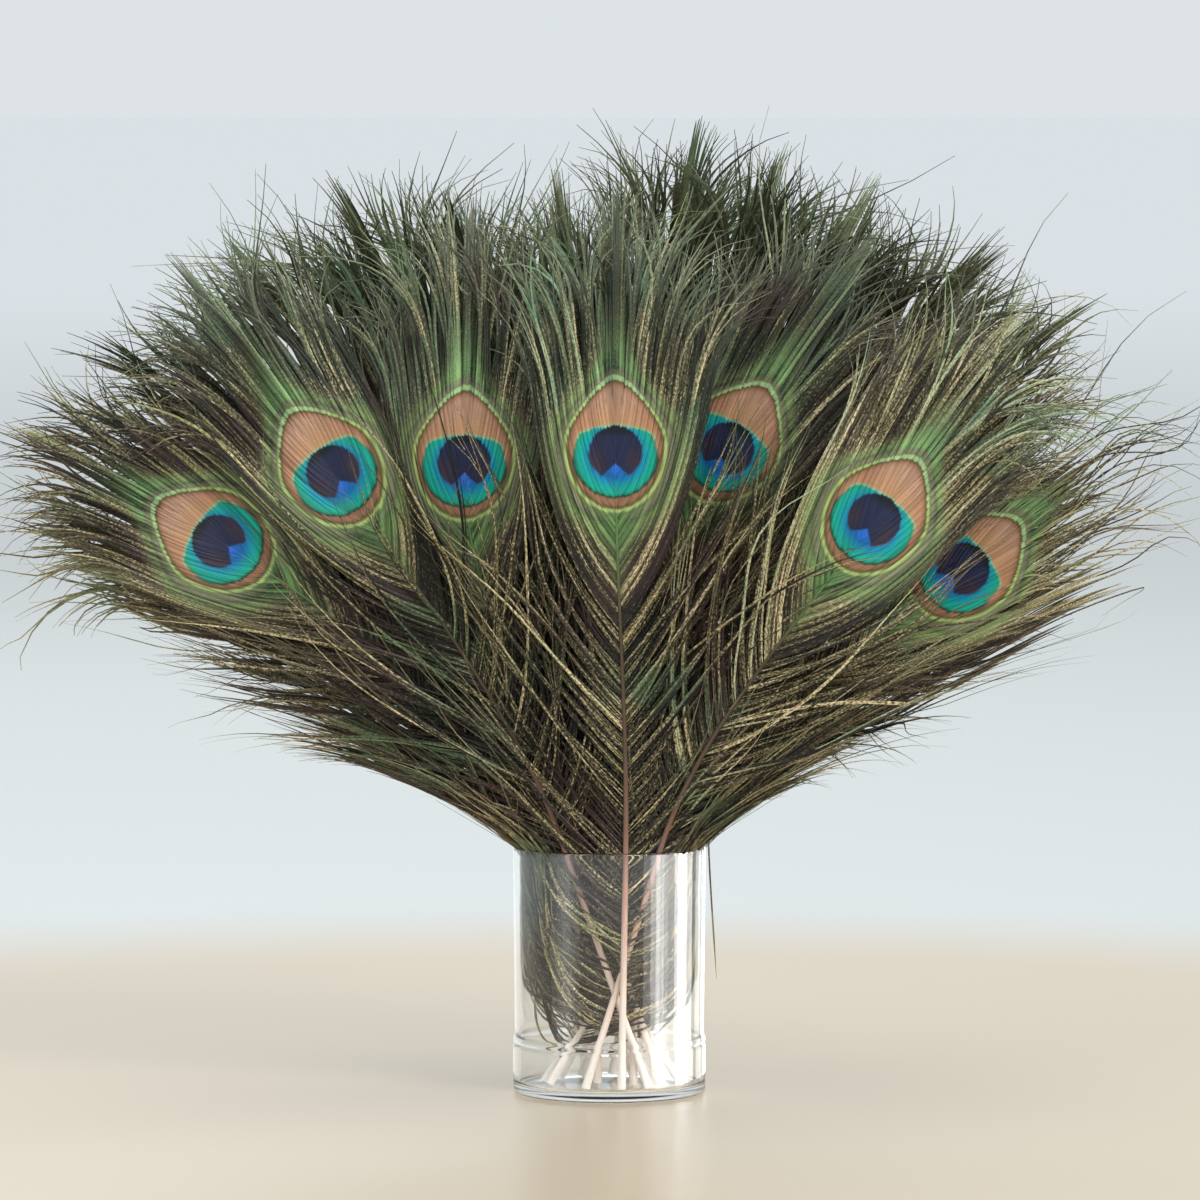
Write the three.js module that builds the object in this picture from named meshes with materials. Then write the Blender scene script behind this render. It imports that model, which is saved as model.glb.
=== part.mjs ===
// A bunch of natural peacock tail feathers standing in a clear round vase.
// Millimetres, +Z up. The origin is the centre of the vase's underside, +X runs along the fan
// of feathers and +Y from its front to its back.

import * as THREE from 'three';

// Vase: a straight clear tumbler whose lowest band stands slightly proud of the wall above it.
const vase = {
  rimRadius: 33,
  height: 85,
  wall: 1.4,
  floor: 3,
  bandRadius: 33,
  bandHeight: 19,
  waistRadius: 32.4, // just above the band
  footBevel: 1.6,
  innerCorner: 2,
  sides: 48,
};

// One feather: a shaft, bare where it was plucked, with a thin vane on both sides of it.
const shaft = {
  footHeight: 4.2, // the cut end's middle, just clear of the vase's floor
  footRadius: 1.1,
  rimRadius: 0.95,
  eyeRadius: 0.45,
  tipRadius: 0.3,
};
const vane = {
  startAboveRim: 14, // along the shaft
  halfWidth: 45,
  tipHalfWidth: 8,
  fullness: 0.6,
  thickness: 0.5,
  eyeToTip: 87,
};

// The bunch: each feather lies in a layer of its own, so that none passes through another.
const bunch = {
  firstLayer: 5.2, // from the middle of the vase to the nearest layer on either side
  layerPitch: 2.42,
  spreadRadius: 26, // the feathers start to lean forwards and back outside this radius
  spreadBend: 20,
  frontLean: 1.15, // degrees for each layer away from the middle
  backLean: 1.75,
};

// Front to back. footX and rimX are where the shaft stands on the floor and passes the rim,
// eyeX and eyeZ the middle of the eye, and lean the shaft's angle there, positive to +X.
const feathers = [
  { name: 'feather_front_4', footX: 4, rimX: 5.5, eyeX: 2, eyeZ: 222, lean: 0 },
  { name: 'feather_front_6', footX: -8, rimX: 17, eyeX: 89, eyeZ: 199, lean: 35 },
  { name: 'feather_front_2', footX: 13, rimX: -15, eyeX: -93, eyeZ: 215, lean: -35 },
  { name: 'feather_front_3', footX: 18, rimX: -9, eyeX: -49, eyeZ: 218, lean: 1 },
  { name: 'feather_front_1', footX: 15, rimX: -24, eyeX: -132, eyeZ: 191, lean: -58 },
  { name: 'feather_front_5', footX: 8, rimX: 9, eyeX: 40, eyeZ: 222, lean: 32 },
  { name: 'feather_front_7', footX: -20, rimX: 26, eyeX: 120, eyeZ: 181, lean: 50 },
  { name: 'feather_back_6', footX: -4, rimX: -4, eyeX: -9, eyeZ: 226, lean: -5 },
  { name: 'feather_back_1', footX: 24, rimX: -28, eyeX: -125, eyeZ: 177, lean: -72 },
  { name: 'feather_back_13', footX: -22, rimX: 28, eyeX: 124, eyeZ: 155, lean: 66 },
  { name: 'feather_back_12', footX: -17, rimX: 27, eyeX: 126, eyeZ: 187, lean: 52 },
  { name: 'feather_back_2', footX: 20, rimX: -26, eyeX: -110, eyeZ: 203, lean: -45 },
  { name: 'feather_back_11', footX: -10, rimX: 24, eyeX: 108, eyeZ: 217, lean: 42 },
  { name: 'feather_back_3', footX: 13, rimX: -20, eyeX: -77, eyeZ: 218, lean: -33 },
  { name: 'feather_back_10', footX: 1, rimX: 18, eyeX: 79, eyeZ: 220, lean: 33 },
  { name: 'feather_back_4', footX: 8, rimX: -12, eyeX: -57, eyeZ: 231, lean: -22 },
  { name: 'feather_back_9', footX: -6, rimX: 12, eyeX: 56, eyeZ: 231, lean: 22 },
  { name: 'feather_back_5', footX: -9, rimX: -9, eyeX: -43, eyeZ: 221, lean: -12 },
  { name: 'feather_back_8', footX: 9, rimX: 9, eyeX: 37, eyeZ: 237, lean: 13 },
  { name: 'feather_back_7', footX: 3, rimX: 3, eyeX: 19, eyeZ: 242, lean: 6 },
];

// Stations along a feather: few on the bare quill, more over the vane.
const quillStations = 3;
const vaneStations = 10;
const columns = 3; // on each side of the shaft's middle
const shaftColumns = 1; // of those, the ones that stay on the shaft where the vane opens
const columnTurn = 25; // degrees round the bare quill from one column to the next

function vaseGeometry() {
  const { rimRadius, height, wall, floor, bandRadius, bandHeight, waistRadius } = vase;
  const innerWaist = waistRadius - wall;
  const rimRound = wall / 2;
  const profile = [
    [0, 0],
    [bandRadius - vase.footBevel, 0],
    [bandRadius, vase.footBevel],
    [bandRadius, bandHeight - 1],
    [waistRadius, bandHeight],
    [rimRadius, height - rimRound],
    [rimRadius - rimRound, height],
    [rimRadius - wall, height - rimRound],
    [innerWaist, bandHeight],
    [innerWaist, floor + vase.innerCorner],
    [innerWaist - vase.innerCorner, floor],
    [0, floor],
  ].map(([radius, z]) => new THREE.Vector2(radius, z));
  const geometry = new THREE.LatheGeometry(profile, vase.sides);
  geometry.rotateX(Math.PI / 2); // the lathe turns about +Y
  return geometry;
}

function lerp(from, to, share) {
  return THREE.MathUtils.lerp(from, to, share);
}

// The shaft's middle line as seen from the front: straight inside the vase, then one smooth bend
// to the eye, and straight on to the feather's tip.
function shaftLine(feather) {
  const foot = new THREE.Vector2(feather.footX, shaft.footHeight);
  const rim = new THREE.Vector2(feather.rimX, vase.height);
  const eye = new THREE.Vector2(feather.eyeX, feather.eyeZ);
  const lean = THREE.MathUtils.degToRad(feather.lean);
  const eyeWay = new THREE.Vector2(Math.sin(lean), Math.cos(lean));
  const rimWay = rim.clone().sub(foot).normalize();
  const handle = rim.distanceTo(eye) / 3;
  const path = new THREE.CurvePath();
  path.add(new THREE.LineCurve(foot, rim));
  path.add(new THREE.CubicBezierCurve(
    rim,
    rim.clone().addScaledVector(rimWay, handle),
    eye.clone().addScaledVector(eyeWay, -handle),
    eye,
  ));
  path.add(new THREE.LineCurve(eye, eye.clone().addScaledVector(eyeWay, vane.eyeToTip)));
  return path;
}

// How far back a layer's point lies. Every layer follows the same formula with a lean of its
// own, in order, so that the layers only draw apart as they rise out of the vase.
function layerDepth(layer, x, z) {
  const half = feathers.length / 2;
  const steps = layer < half ? layer - (half - 1) : layer - half;
  const side = layer < half ? -1 : 1;
  const start = side * bunch.firstLayer + steps * bunch.layerPitch;
  const degrees = steps * (side < 0 ? bunch.frontLean : bunch.backLean);
  const sideways = Math.max(0, Math.abs(x) - bunch.spreadRadius);
  const up = Math.max(0, z - vase.height);
  const out = Math.hypot(sideways, up);
  const eased = out * out / (out + bunch.spreadBend);
  return start + Math.tan(THREE.MathUtils.degToRad(degrees)) * eased;
}

// Radius of the shaft and half width of the vane at a distance along the feather.
function sectionAt(distance, lengths) {
  const [toRim, toEye, toTip] = lengths;
  let radius;
  if (distance < toRim) {
    radius = lerp(shaft.footRadius, shaft.rimRadius, distance / toRim);
  } else if (distance < toEye) {
    radius = lerp(shaft.rimRadius, shaft.eyeRadius, (distance - toRim) / (toEye - toRim));
  } else {
    radius = lerp(shaft.eyeRadius, shaft.tipRadius, (distance - toEye) / (toTip - toEye));
  }
  const start = toRim + vane.startAboveRim;
  const along = THREE.MathUtils.clamp((distance - start) / (toTip - start), 0, 1);
  const bulge = vane.halfWidth * Math.pow(4 * along * (1 - along), vane.fullness);
  const halfWidth = along > 0.5 ? Math.max(vane.tipHalfWidth, bulge) : bulge;
  return { radius, halfWidth };
}

// A box of columns across and stations along, bent into the feather. On the bare quill its
// columns close up into a round rod, and over the vane the outer ones open into a thin sheet.
function featherGeometry(feather, layer) {
  const line = shaftLine(feather);
  const lengths = line.getCurveLengths();
  const [toRim, , toTip] = lengths;
  const vaneStart = toRim + vane.startAboveRim;
  const stations = quillStations + vaneStations;
  const geometry = new THREE.BoxGeometry(2, 2, 2, 2 * columns, 1, stations);
  const positions = geometry.attributes.position;
  for (let i = 0; i < positions.count; i += 1) {
    const column = Math.round(positions.getX(i) * columns);
    const station = Math.round((positions.getZ(i) + 1) / 2 * stations);
    const face = Math.sign(positions.getY(i));
    const distance = station <= quillStations
      ? vaneStart * station / quillStations
      : lerp(vaneStart, toTip, (station - quillStations) / vaneStations);
    const { radius, halfWidth } = sectionAt(distance, lengths);

    const turn = THREE.MathUtils.degToRad(columnTurn * Math.abs(column));
    let across = radius * Math.sin(turn);
    let thick = radius * Math.cos(turn);
    if (halfWidth > radius && Math.abs(column) > shaftColumns) {
      const open = (Math.abs(column) - shaftColumns) / (columns - shaftColumns);
      across = lerp(across, halfWidth, open);
      thick = Math.min(thick, vane.thickness / 2);
    }
    across *= Math.sign(column);

    const middle = line.getPointAt(distance / toTip);
    const way = line.getTangentAt(distance / toTip);
    const x = middle.x + way.y * across;
    const z = middle.y - way.x * across;
    positions.setXYZ(i, x, layerDepth(layer, x, z) + face * thick, z);
  }
  geometry.computeVertexNormals();
  return geometry;
}

const bouquet = new THREE.Group();

const vaseMesh = new THREE.Mesh(
  vaseGeometry(),
  new THREE.MeshStandardMaterial({
    color: 0xe6eeee, roughness: 0.05, metalness: 0, transparent: true, opacity: 0.35,
  }),
);
vaseMesh.name = 'vase';
bouquet.add(vaseMesh);

feathers.forEach((feather, layer) => {
  const mesh = new THREE.Mesh(
    featherGeometry(feather, layer),
    new THREE.MeshStandardMaterial({ color: 0x5c5a3c, roughness: 0.75, metalness: 0 }),
  );
  mesh.name = feather.name;
  bouquet.add(mesh);
});

export default bouquet;
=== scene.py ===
import math
import bpy
import numpy as np
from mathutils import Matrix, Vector
from mathutils.geometry import interpolate_bezier


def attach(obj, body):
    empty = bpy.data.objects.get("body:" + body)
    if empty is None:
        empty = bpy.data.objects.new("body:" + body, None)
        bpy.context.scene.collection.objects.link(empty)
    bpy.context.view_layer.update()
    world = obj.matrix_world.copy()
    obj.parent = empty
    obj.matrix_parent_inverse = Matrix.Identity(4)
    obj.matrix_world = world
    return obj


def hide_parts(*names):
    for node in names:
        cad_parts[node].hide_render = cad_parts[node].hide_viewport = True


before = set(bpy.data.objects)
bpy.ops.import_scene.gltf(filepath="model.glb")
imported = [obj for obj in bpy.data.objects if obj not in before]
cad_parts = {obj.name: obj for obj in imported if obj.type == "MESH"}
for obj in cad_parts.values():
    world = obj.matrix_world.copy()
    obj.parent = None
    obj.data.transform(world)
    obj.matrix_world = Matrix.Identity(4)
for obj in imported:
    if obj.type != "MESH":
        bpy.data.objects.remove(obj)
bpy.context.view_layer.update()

mm = 0.001
print("frame loaded:", len(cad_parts), "nodes")


def tint(red, green, blue):
    # a colour picked as 0 to 255 screen values
    def linear(value):
        share = value / 255
        return share / 12.92 if share <= 0.04045 else ((share + 0.055) / 1.055) ** 2.4
    return (linear(red), linear(green), linear(blue), 1.0)


def deselectAll():
    bpy.ops.object.select_all(action="DESELECT")


shot = {
    "aim": (-3.2, 0.0, 168.9),     # mm
    "distance": 2800.0,
    "elevation": 4.0,              # degrees
    "widthAtAim": 410.0,           # mm across the frame at the aim point
    "sensor": 36.0,
}


def placeCamera():
    tilt = math.radians(shot["elevation"])
    back = Vector((0, -math.cos(tilt), math.sin(tilt))) * shot["distance"]
    place = (Vector(shot["aim"]) + back) * mm
    bpy.ops.object.camera_add(location=place, rotation=(math.pi / 2 - tilt, 0, 0))
    camera = bpy.context.object
    camera.name = "camera"
    camera.data.sensor_width = shot["sensor"]
    camera.data.lens = shot["sensor"] * shot["distance"] / shot["widthAtAim"]
    bpy.context.scene.camera = camera


placeCamera()
print("camera placed")


def newMaterial(name):
    material = bpy.data.materials.new(name)
    material.use_nodes = True
    tree = material.node_tree
    shader = tree.nodes["Principled BSDF"]
    return material, tree, shader


def feed(tree, socket, value):
    # a socket takes either a number, a colour or another node's output
    if isinstance(value, bpy.types.NodeSocket):
        tree.links.new(value, socket)
    else:
        socket.default_value = value


def calc(tree, operation, *values, clamp=False):
    node = tree.nodes.new("ShaderNodeMath")
    node.operation = operation
    node.use_clamp = clamp
    for socket, value in zip(node.inputs, values):
        feed(tree, socket, value)
    return node.outputs[0]


def fade(tree, value, start, end):
    # 0 at start, 1 at end, smooth between
    node = tree.nodes.new("ShaderNodeMapRange")
    node.interpolation_type = "SMOOTHSTEP"
    feed(tree, node.inputs["Value"], value)
    feed(tree, node.inputs["From Min"], start)
    feed(tree, node.inputs["From Max"], end)
    return node.outputs["Result"]


def blendColours(tree, share, a, b, mode="MIX"):
    node = tree.nodes.new("ShaderNodeMix")
    node.data_type = "RGBA"
    node.blend_type = mode
    feed(tree, node.inputs["Factor"], share)
    feed(tree, node.inputs[6], a)
    feed(tree, node.inputs[7], b)
    return node.outputs[2]


def colourRamp(tree, value, stops):
    # stops are values and the shades there, up to any last value
    node = tree.nodes.new("ShaderNodeValToRGB")
    ramp = node.color_ramp
    end = stops[-1][0]
    while len(ramp.elements) < len(stops):
        ramp.elements.new(1.0)
    for element, (place, shade) in zip(ramp.elements, stops):
        element.position = place / end
        element.color = tint(*shade)
    tree.links.new(calc(tree, "DIVIDE", value, end), node.inputs[0])
    return node.outputs["Color"]


def noiseAt(tree, vector, scale, detail=2.0):
    node = tree.nodes.new("ShaderNodeTexNoise")
    feed(tree, node.inputs["Vector"], vector)
    node.inputs["Scale"].default_value = scale
    node.inputs["Detail"].default_value = detail
    return node.outputs["Fac"]


def stretched(tree, vector, scale):
    node = tree.nodes.new("ShaderNodeMapping")
    feed(tree, node.inputs["Vector"], vector)
    node.inputs["Scale"].default_value = scale
    return node.outputs["Vector"]


def newGroup(name, takes, gives):
    group = bpy.data.node_groups.new(name, "ShaderNodeTree")
    for label, kind in takes:
        group.interface.new_socket(label, in_out="INPUT", socket_type=kind)
    for label, kind in gives:
        group.interface.new_socket(label, in_out="OUTPUT", socket_type=kind)
    return group, group.nodes.new("NodeGroupInput"), group.nodes.new("NodeGroupOutput")


def useGroup(tree, group):
    node = tree.nodes.new("ShaderNodeGroup")
    node.node_tree = group
    return node


def uvOf(tree, name):
    node = tree.nodes.new("ShaderNodeUVMap")
    node.uv_map = name
    return node.outputs["UV"]


def split(tree, vector):
    node = tree.nodes.new("ShaderNodeSeparateXYZ")
    tree.links.new(vector, node.inputs[0])
    return node.outputs


def objectPlace(tree):
    return tree.nodes.new("ShaderNodeTexCoord").outputs["Object"]


def addBump(tree, shader, height, strength, depth):
    node = tree.nodes.new("ShaderNodeBump")
    node.inputs["Strength"].default_value = strength
    node.inputs["Distance"].default_value = depth * mm
    tree.links.new(height, node.inputs["Height"])
    tree.links.new(node.outputs[0], shader.inputs["Normal"])


def fadeIn(tree, strength, fades, measures):
    # a strength times its fades, each in one of the measures from its start to its end
    for measure, start, end in fades:
        strength = calc(tree, "MULTIPLY", strength, fade(tree, measures[measure], start, end))
    return strength


def layShades(tree, colour, layers, measures):
    # lays shades over a colour in turn: each is a shade, its strength and its fades
    for shade, strength, *fades in layers:
        share = fadeIn(tree, strength, fades, measures)
        colour = blendColours(tree, share, colour, tint(*shade))
    return colour


# The eye marking, which the barbs and the shaft share. Lengths are in mm along and across the
# feather, from the middle of the dark heart; rho is 1 on the bronze egg's edge.
eyeMark = {
    "egg": (16.3, 21.7),          # half width and half height of the bronze egg
    "eggRise": 2.5,               # its middle above the middle of the dark heart
    "eggPoint": 0.62,             # how much its top narrows to a point
    "rings": [                    # rho and the shade there
        (0.00, (198, 152, 108)),
        (0.60, (194, 148, 110)),
        (0.86, (184, 134, 102)),
        (0.94, (152, 112, 82)),
        (0.975, (100, 82, 54)),
        (1.00, (112, 122, 66)),
        (1.02, (180, 196, 120)),
        (1.05, (176, 196, 124)),
        (1.08, (108, 126, 80)),
        (1.15, (128, 126, 100)),
        (1.23, (92, 104, 72)),
        (1.32, (118, 138, 86)),
        (1.46, (122, 134, 88)),
        (1.64, (122, 122, 84)),
        (2.50, (112, 102, 72)),
    ],
    # laid over the rings in turn: shade, strength and fades
    "overRings": [
        ((166, 198, 142), 1.0, ("rho", 0.99, 1.02), ("rho", 1.10, 1.06), ("along", 12.0, 22.0)),
        ((182, 145, 121), 1.0, ("rho", 0.98, 0.8), ("along", 8.0, 22.0)),
        ((120, 88, 62), 0.75, ("rho", 0.98, 0.8), ("along", -7.0, -17.0)),
    ],
    # green spike over the eye and green tail under it: shade, strength, half width beside the
    # heart, its change along the feather, the full green's half width, and fades
    "greens": [
        ((122, 158, 102), 0.9, 15.0, -0.12, 2.0,
         ("rho", 1.14, 1.26), ("along", 12.0, 22.0), ("along", 62.0, 30.0)),
        ((88, 130, 74), 0.8, 20.0, 0.36, 0.0,
         ("rho", 1.02, 1.10), ("along", -68.0, -28.0), ("along", -8.0, -16.0)),
    ],
    "greenStays": 0.8,            # how much of them the barb's own colour leaves
    "outside": (1.24, 1.72),      # rho over which the barb's own colour takes over
    "shine": (1.22, 1.04),        # rho from which the markings keep their even brightness
    "discRadius": 13.9,
    "discDrop": 1.0,              # its middle under the middle of the heart
    "discTop": 8.8,               # where its flat top cuts it off, and how much that curves
    "discTopCurve": 0.016,
    "discCorner": 1.6,            # how round the corners between both are
    "disc": [                     # radius over the disc's own, and the shade there
        (0.55, (0, 108, 182)),
        (0.68, (0, 144, 178)),
        (0.82, (0, 166, 158)),
        (0.93, (4, 170, 146)),
        (1.00, (10, 136, 110)),
    ],
    "discSoft": 0.35,             # half the width over which its edge fades
    "underDisc": [                # pale brow over the disc and dark line under it
        ((136, 190, 146), 0.7, ("edge", 1.2, 0.4), ("along", 2.0, 6.0)),
        ((14, 62, 46), 1.0, ("edge", 1.1, 0.2), ("along", 2.0, -3.0)),
    ],
    "overDisc": [                 # bright blue in the notch
        ((44, 116, 224), 1.0, ("across", 3.2, 0.0), ("along", -9.0, -4.5), ("edge", 0.35, -0.35)),
    ],
    "heartRadius": 9.0,
    "heartSoft": 0.4,
    "heartCorner": 0.8,
    "notchTop": -3.9,
    "notchSlope": 0.92,
    "notchSide": 0.74,            # turns the height over its sides into the distance from them
    "heart": (28, 36, 72),
    "overHeart": [                # its dark top and purplish lobes
        ((4, 18, 26), 1.0, ("along", 4.6, 7.6)),
        ((54, 42, 60), 1.0, ("across", 2.0, 6.5), ("along", 4.0, -3.0)),
    ],
    "placeScale": 100.0,          # the place map holds hundreds of mm
    "elsewhere": 5.0,             # a place outside every marking, for what stays plain
}


def makeEyeGroup():
    takes = [("Place", "NodeSocketVector"), ("Jitter", "NodeSocketFloat"), ("Plain", "NodeSocketColor")]
    gives = [("Color", "NodeSocketColor"), ("Shine", "NodeSocketFloat"), ("Own", "NodeSocketFloat")]
    group, given, result = newGroup("eyeMarks", takes, gives)
    place = split(group, given.outputs["Place"])
    jitter = given.outputs["Jitter"]      # mm along the barb, so that the edges are ragged
    across = calc(group, "ABSOLUTE", calc(group, "MULTIPLY", place[0], eyeMark["placeScale"]))
    along = calc(group, "MULTIPLY_ADD", place[1], eyeMark["placeScale"], jitter)

    # bronze egg and the rings round it
    halfWidth, halfHeight = eyeMark["egg"]
    high = calc(group, "DIVIDE", calc(group, "SUBTRACT", along, eyeMark["eggRise"]), halfHeight)
    top = calc(group, "MAXIMUM", high, 0.0)
    narrow = calc(group, "MULTIPLY_ADD", calc(group, "MULTIPLY", top, top), eyeMark["eggPoint"], 1.0)
    wide = calc(group, "MULTIPLY", calc(group, "DIVIDE", across, halfWidth), narrow)
    highSquare = calc(group, "MULTIPLY", high, high)
    rho = calc(group, "SQRT", calc(group, "MULTIPLY_ADD", wide, wide, highSquare))
    measures = {"along": along, "across": across, "rho": rho}
    colour = colourRamp(group, rho, eyeMark["rings"])
    colour = layShades(group, colour, eyeMark["overRings"], measures)

    greens = []
    for shade, strength, width, widens, core, *fades in eyeMark["greens"]:
        green = fade(group, across, calc(group, "MULTIPLY_ADD", along, widens, width), core)
        greens.append(fadeIn(group, green, fades, measures))
        share = calc(group, "MULTIPLY", greens[-1], strength)
        colour = blendColours(group, share, colour, tint(*shade))

    # everything outside the rings keeps the barb's own colour
    outside = fade(group, rho, *eyeMark["outside"])
    keepGreen = calc(group, "MULTIPLY", calc(group, "MAXIMUM", *greens), eyeMark["greenStays"])
    plainShare = calc(group, "SUBTRACT", outside, keepGreen, clamp=True)
    colour = blendColours(group, plainShare, colour, given.outputs["Plain"])

    # turquoise disc, flat on top
    acrossSquare = calc(group, "MULTIPLY", across, across)
    lower = calc(group, "ADD", along, eyeMark["discDrop"])
    discRadius = calc(group, "SQRT", calc(group, "MULTIPLY_ADD", lower, lower, acrossSquare))
    discRound = calc(group, "SUBTRACT", discRadius, eyeMark["discRadius"])
    flat = calc(group, "MULTIPLY_ADD", acrossSquare, eyeMark["discTopCurve"], along)
    flat = calc(group, "SUBTRACT", flat, eyeMark["discTop"])
    edge = calc(group, "SMOOTH_MAX", discRound, flat, eyeMark["discCorner"])
    measures["edge"] = edge               # mm outside the disc
    colour = layShades(group, colour, eyeMark["underDisc"], measures)
    disc = colourRamp(group, calc(group, "DIVIDE", discRadius, eyeMark["discRadius"]), eyeMark["disc"])
    soft = eyeMark["discSoft"]
    colour = blendColours(group, fade(group, edge, soft, -soft), colour, disc)
    colour = layShades(group, colour, eyeMark["overDisc"], measures)

    # dark heart with the notch under it
    radius = calc(group, "SQRT", calc(group, "MULTIPLY_ADD", along, along, acrossSquare))
    heartRound = calc(group, "SUBTRACT", radius, eyeMark["heartRadius"])
    notch = calc(group, "MULTIPLY_ADD", across, -eyeMark["notchSlope"], eyeMark["notchTop"])
    notch = calc(group, "MULTIPLY", calc(group, "SUBTRACT", notch, along), eyeMark["notchSide"])
    heartEdge = calc(group, "SMOOTH_MAX", heartRound, notch, eyeMark["heartCorner"])
    heart = layShades(group, tint(*eyeMark["heart"]), eyeMark["overHeart"], measures)
    soft = eyeMark["heartSoft"]
    colour = blendColours(group, fade(group, heartEdge, soft, -soft), colour, heart)

    group.links.new(colour, result.inputs["Color"])
    group.links.new(fade(group, rho, *eyeMark["shine"]), result.inputs["Shine"])
    group.links.new(outside, result.inputs["Own"])
    return group


barbFinish = {
    "shades": [                    # from the darkest barbs and flecks to the palest: the darkest partly paint the shade in the gaps between barbs, the palest partly paint highlights on them
        (0.00, (16, 13, 11)),
        (0.20, (38, 32, 25)),
        (0.38, (78, 71, 50)),
        (0.52, (106, 100, 68)),
        (0.66, (138, 126, 86)),
        (0.82, (174, 157, 113)),
        (1.00, (214, 196, 160)),
    ],
    "streak": (7.0, 3000.0, 1.0),  # how close the noise lies along a barb and across the map's strips
    "fleck": (100.0, 900.0, 1.0),
    "streaks": 1.0,                # how much streaks, flecks and the barb's own chance change its level
    "flecks": 1.9,
    "chances": (0.7, 0.1),         # and the level without any of them
    # stretches the level, which deepens the painted shade between barbs and brightens the painted
    # highlights on them
    "contrast": (1.35, -0.17),
    "patchSize": 24.0,
    "redShift": (3.1, 1.7, 5.3),   # the reddish patches lie elsewhere than the green ones
    # green patches, stronger towards the top of the bunch; height is in metres
    "green": (72, 112, 80),
    "greenPatches": [("patches", 0.50, 0.66), ("chance", 0.0, 0.7)],
    "greenHeight": (0.19, 0.29),
    "greenByHeight": 0.25,
    "greenStrength": 0.7,
    # laid over it in turn: shade, strength and fades
    "over": [
        ((126, 138, 108), 0.7, ("height", 0.22, 0.31), ("share", 0.4, 0.9)),     # greyer upper ends
        ((122, 136, 70), 0.6, ("patches", 0.42, 0.32), ("chance", 0.5, 0.9)),    # yellowish
        ((86, 58, 56), 0.6, ("reds", 0.48, 0.62), ("chance", 0.8, 0.15)),        # reddish
        ((84, 158, 128), 0.32, ("chance", 0.96, 0.99), ("height", 0.08, 0.13)),  # a few bright teal ones, a painted iridescent sheen
        ((186, 172, 130), 0.5, ("share", 0.55, 1.0), ("height", 0.25, 0.15)),    # dry low ends
    ],
    "jitter": 0.6,                 # mm by which neighbouring barbs' markings differ
    "vary": (1.5, 1.7),            # how much flecks and chance change the brightness round the eye, partly the barbs' own tone and partly painted highlights and shade
    "calm": (0.72, 0.5),           # how much less they do in the markings and outside the eye
    "brightness": (-0.12, 0.98),   # how it changes outside the eye, and what it is within
    "darkest": 0.1,
    "roughness": (0.38, 0.58),
    "specular": 0.4,
    "bump": 0.3,
    "bumpDepth": 0.2,
}


def spreadOut(tree, noise, amount):
    # noise hangs round one half, so it is widened round zero
    return calc(tree, "MULTIPLY_ADD", noise, amount, -amount / 2)


def ownColour(tree, chance, share, fleck, strip):
    # a barb's colour where it carries no marking
    streak = noiseAt(tree, stretched(tree, strip, barbFinish["streak"]), 1.0, 1.0)
    streaks = spreadOut(tree, streak, barbFinish["streaks"])
    level = calc(tree, "ADD", streaks, spreadOut(tree, fleck, barbFinish["flecks"]))
    level = calc(tree, "ADD", level, calc(tree, "MULTIPLY_ADD", chance, *barbFinish["chances"]))
    level = calc(tree, "MULTIPLY_ADD", level, *barbFinish["contrast"])
    colour = colourRamp(tree, level, barbFinish["shades"])

    # green, yellowish and reddish patches that run through the bunch
    place = objectPlace(tree)
    shifted = tree.nodes.new("ShaderNodeMapping")
    tree.links.new(place, shifted.inputs["Vector"])
    shifted.inputs["Location"].default_value = barbFinish["redShift"]
    measures = {
        "chance": chance,
        "share": share,                   # 0 at the root, 1 at the tip
        "height": split(tree, place)[2],
        "patches": noiseAt(tree, place, barbFinish["patchSize"], 1.0),
        "reds": noiseAt(tree, shifted.outputs["Vector"], barbFinish["patchSize"], 1.0),
    }
    green = fadeIn(tree, 1.0, barbFinish["greenPatches"], measures)
    high = fade(tree, measures["height"], *barbFinish["greenHeight"])
    green = calc(tree, "MULTIPLY_ADD", high, barbFinish["greenByHeight"], green, clamp=True)
    green = calc(tree, "MULTIPLY", green, barbFinish["greenStrength"])
    colour = blendColours(tree, green, colour, tint(*barbFinish["green"]))
    return layShades(tree, colour, barbFinish["over"], measures)


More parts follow.
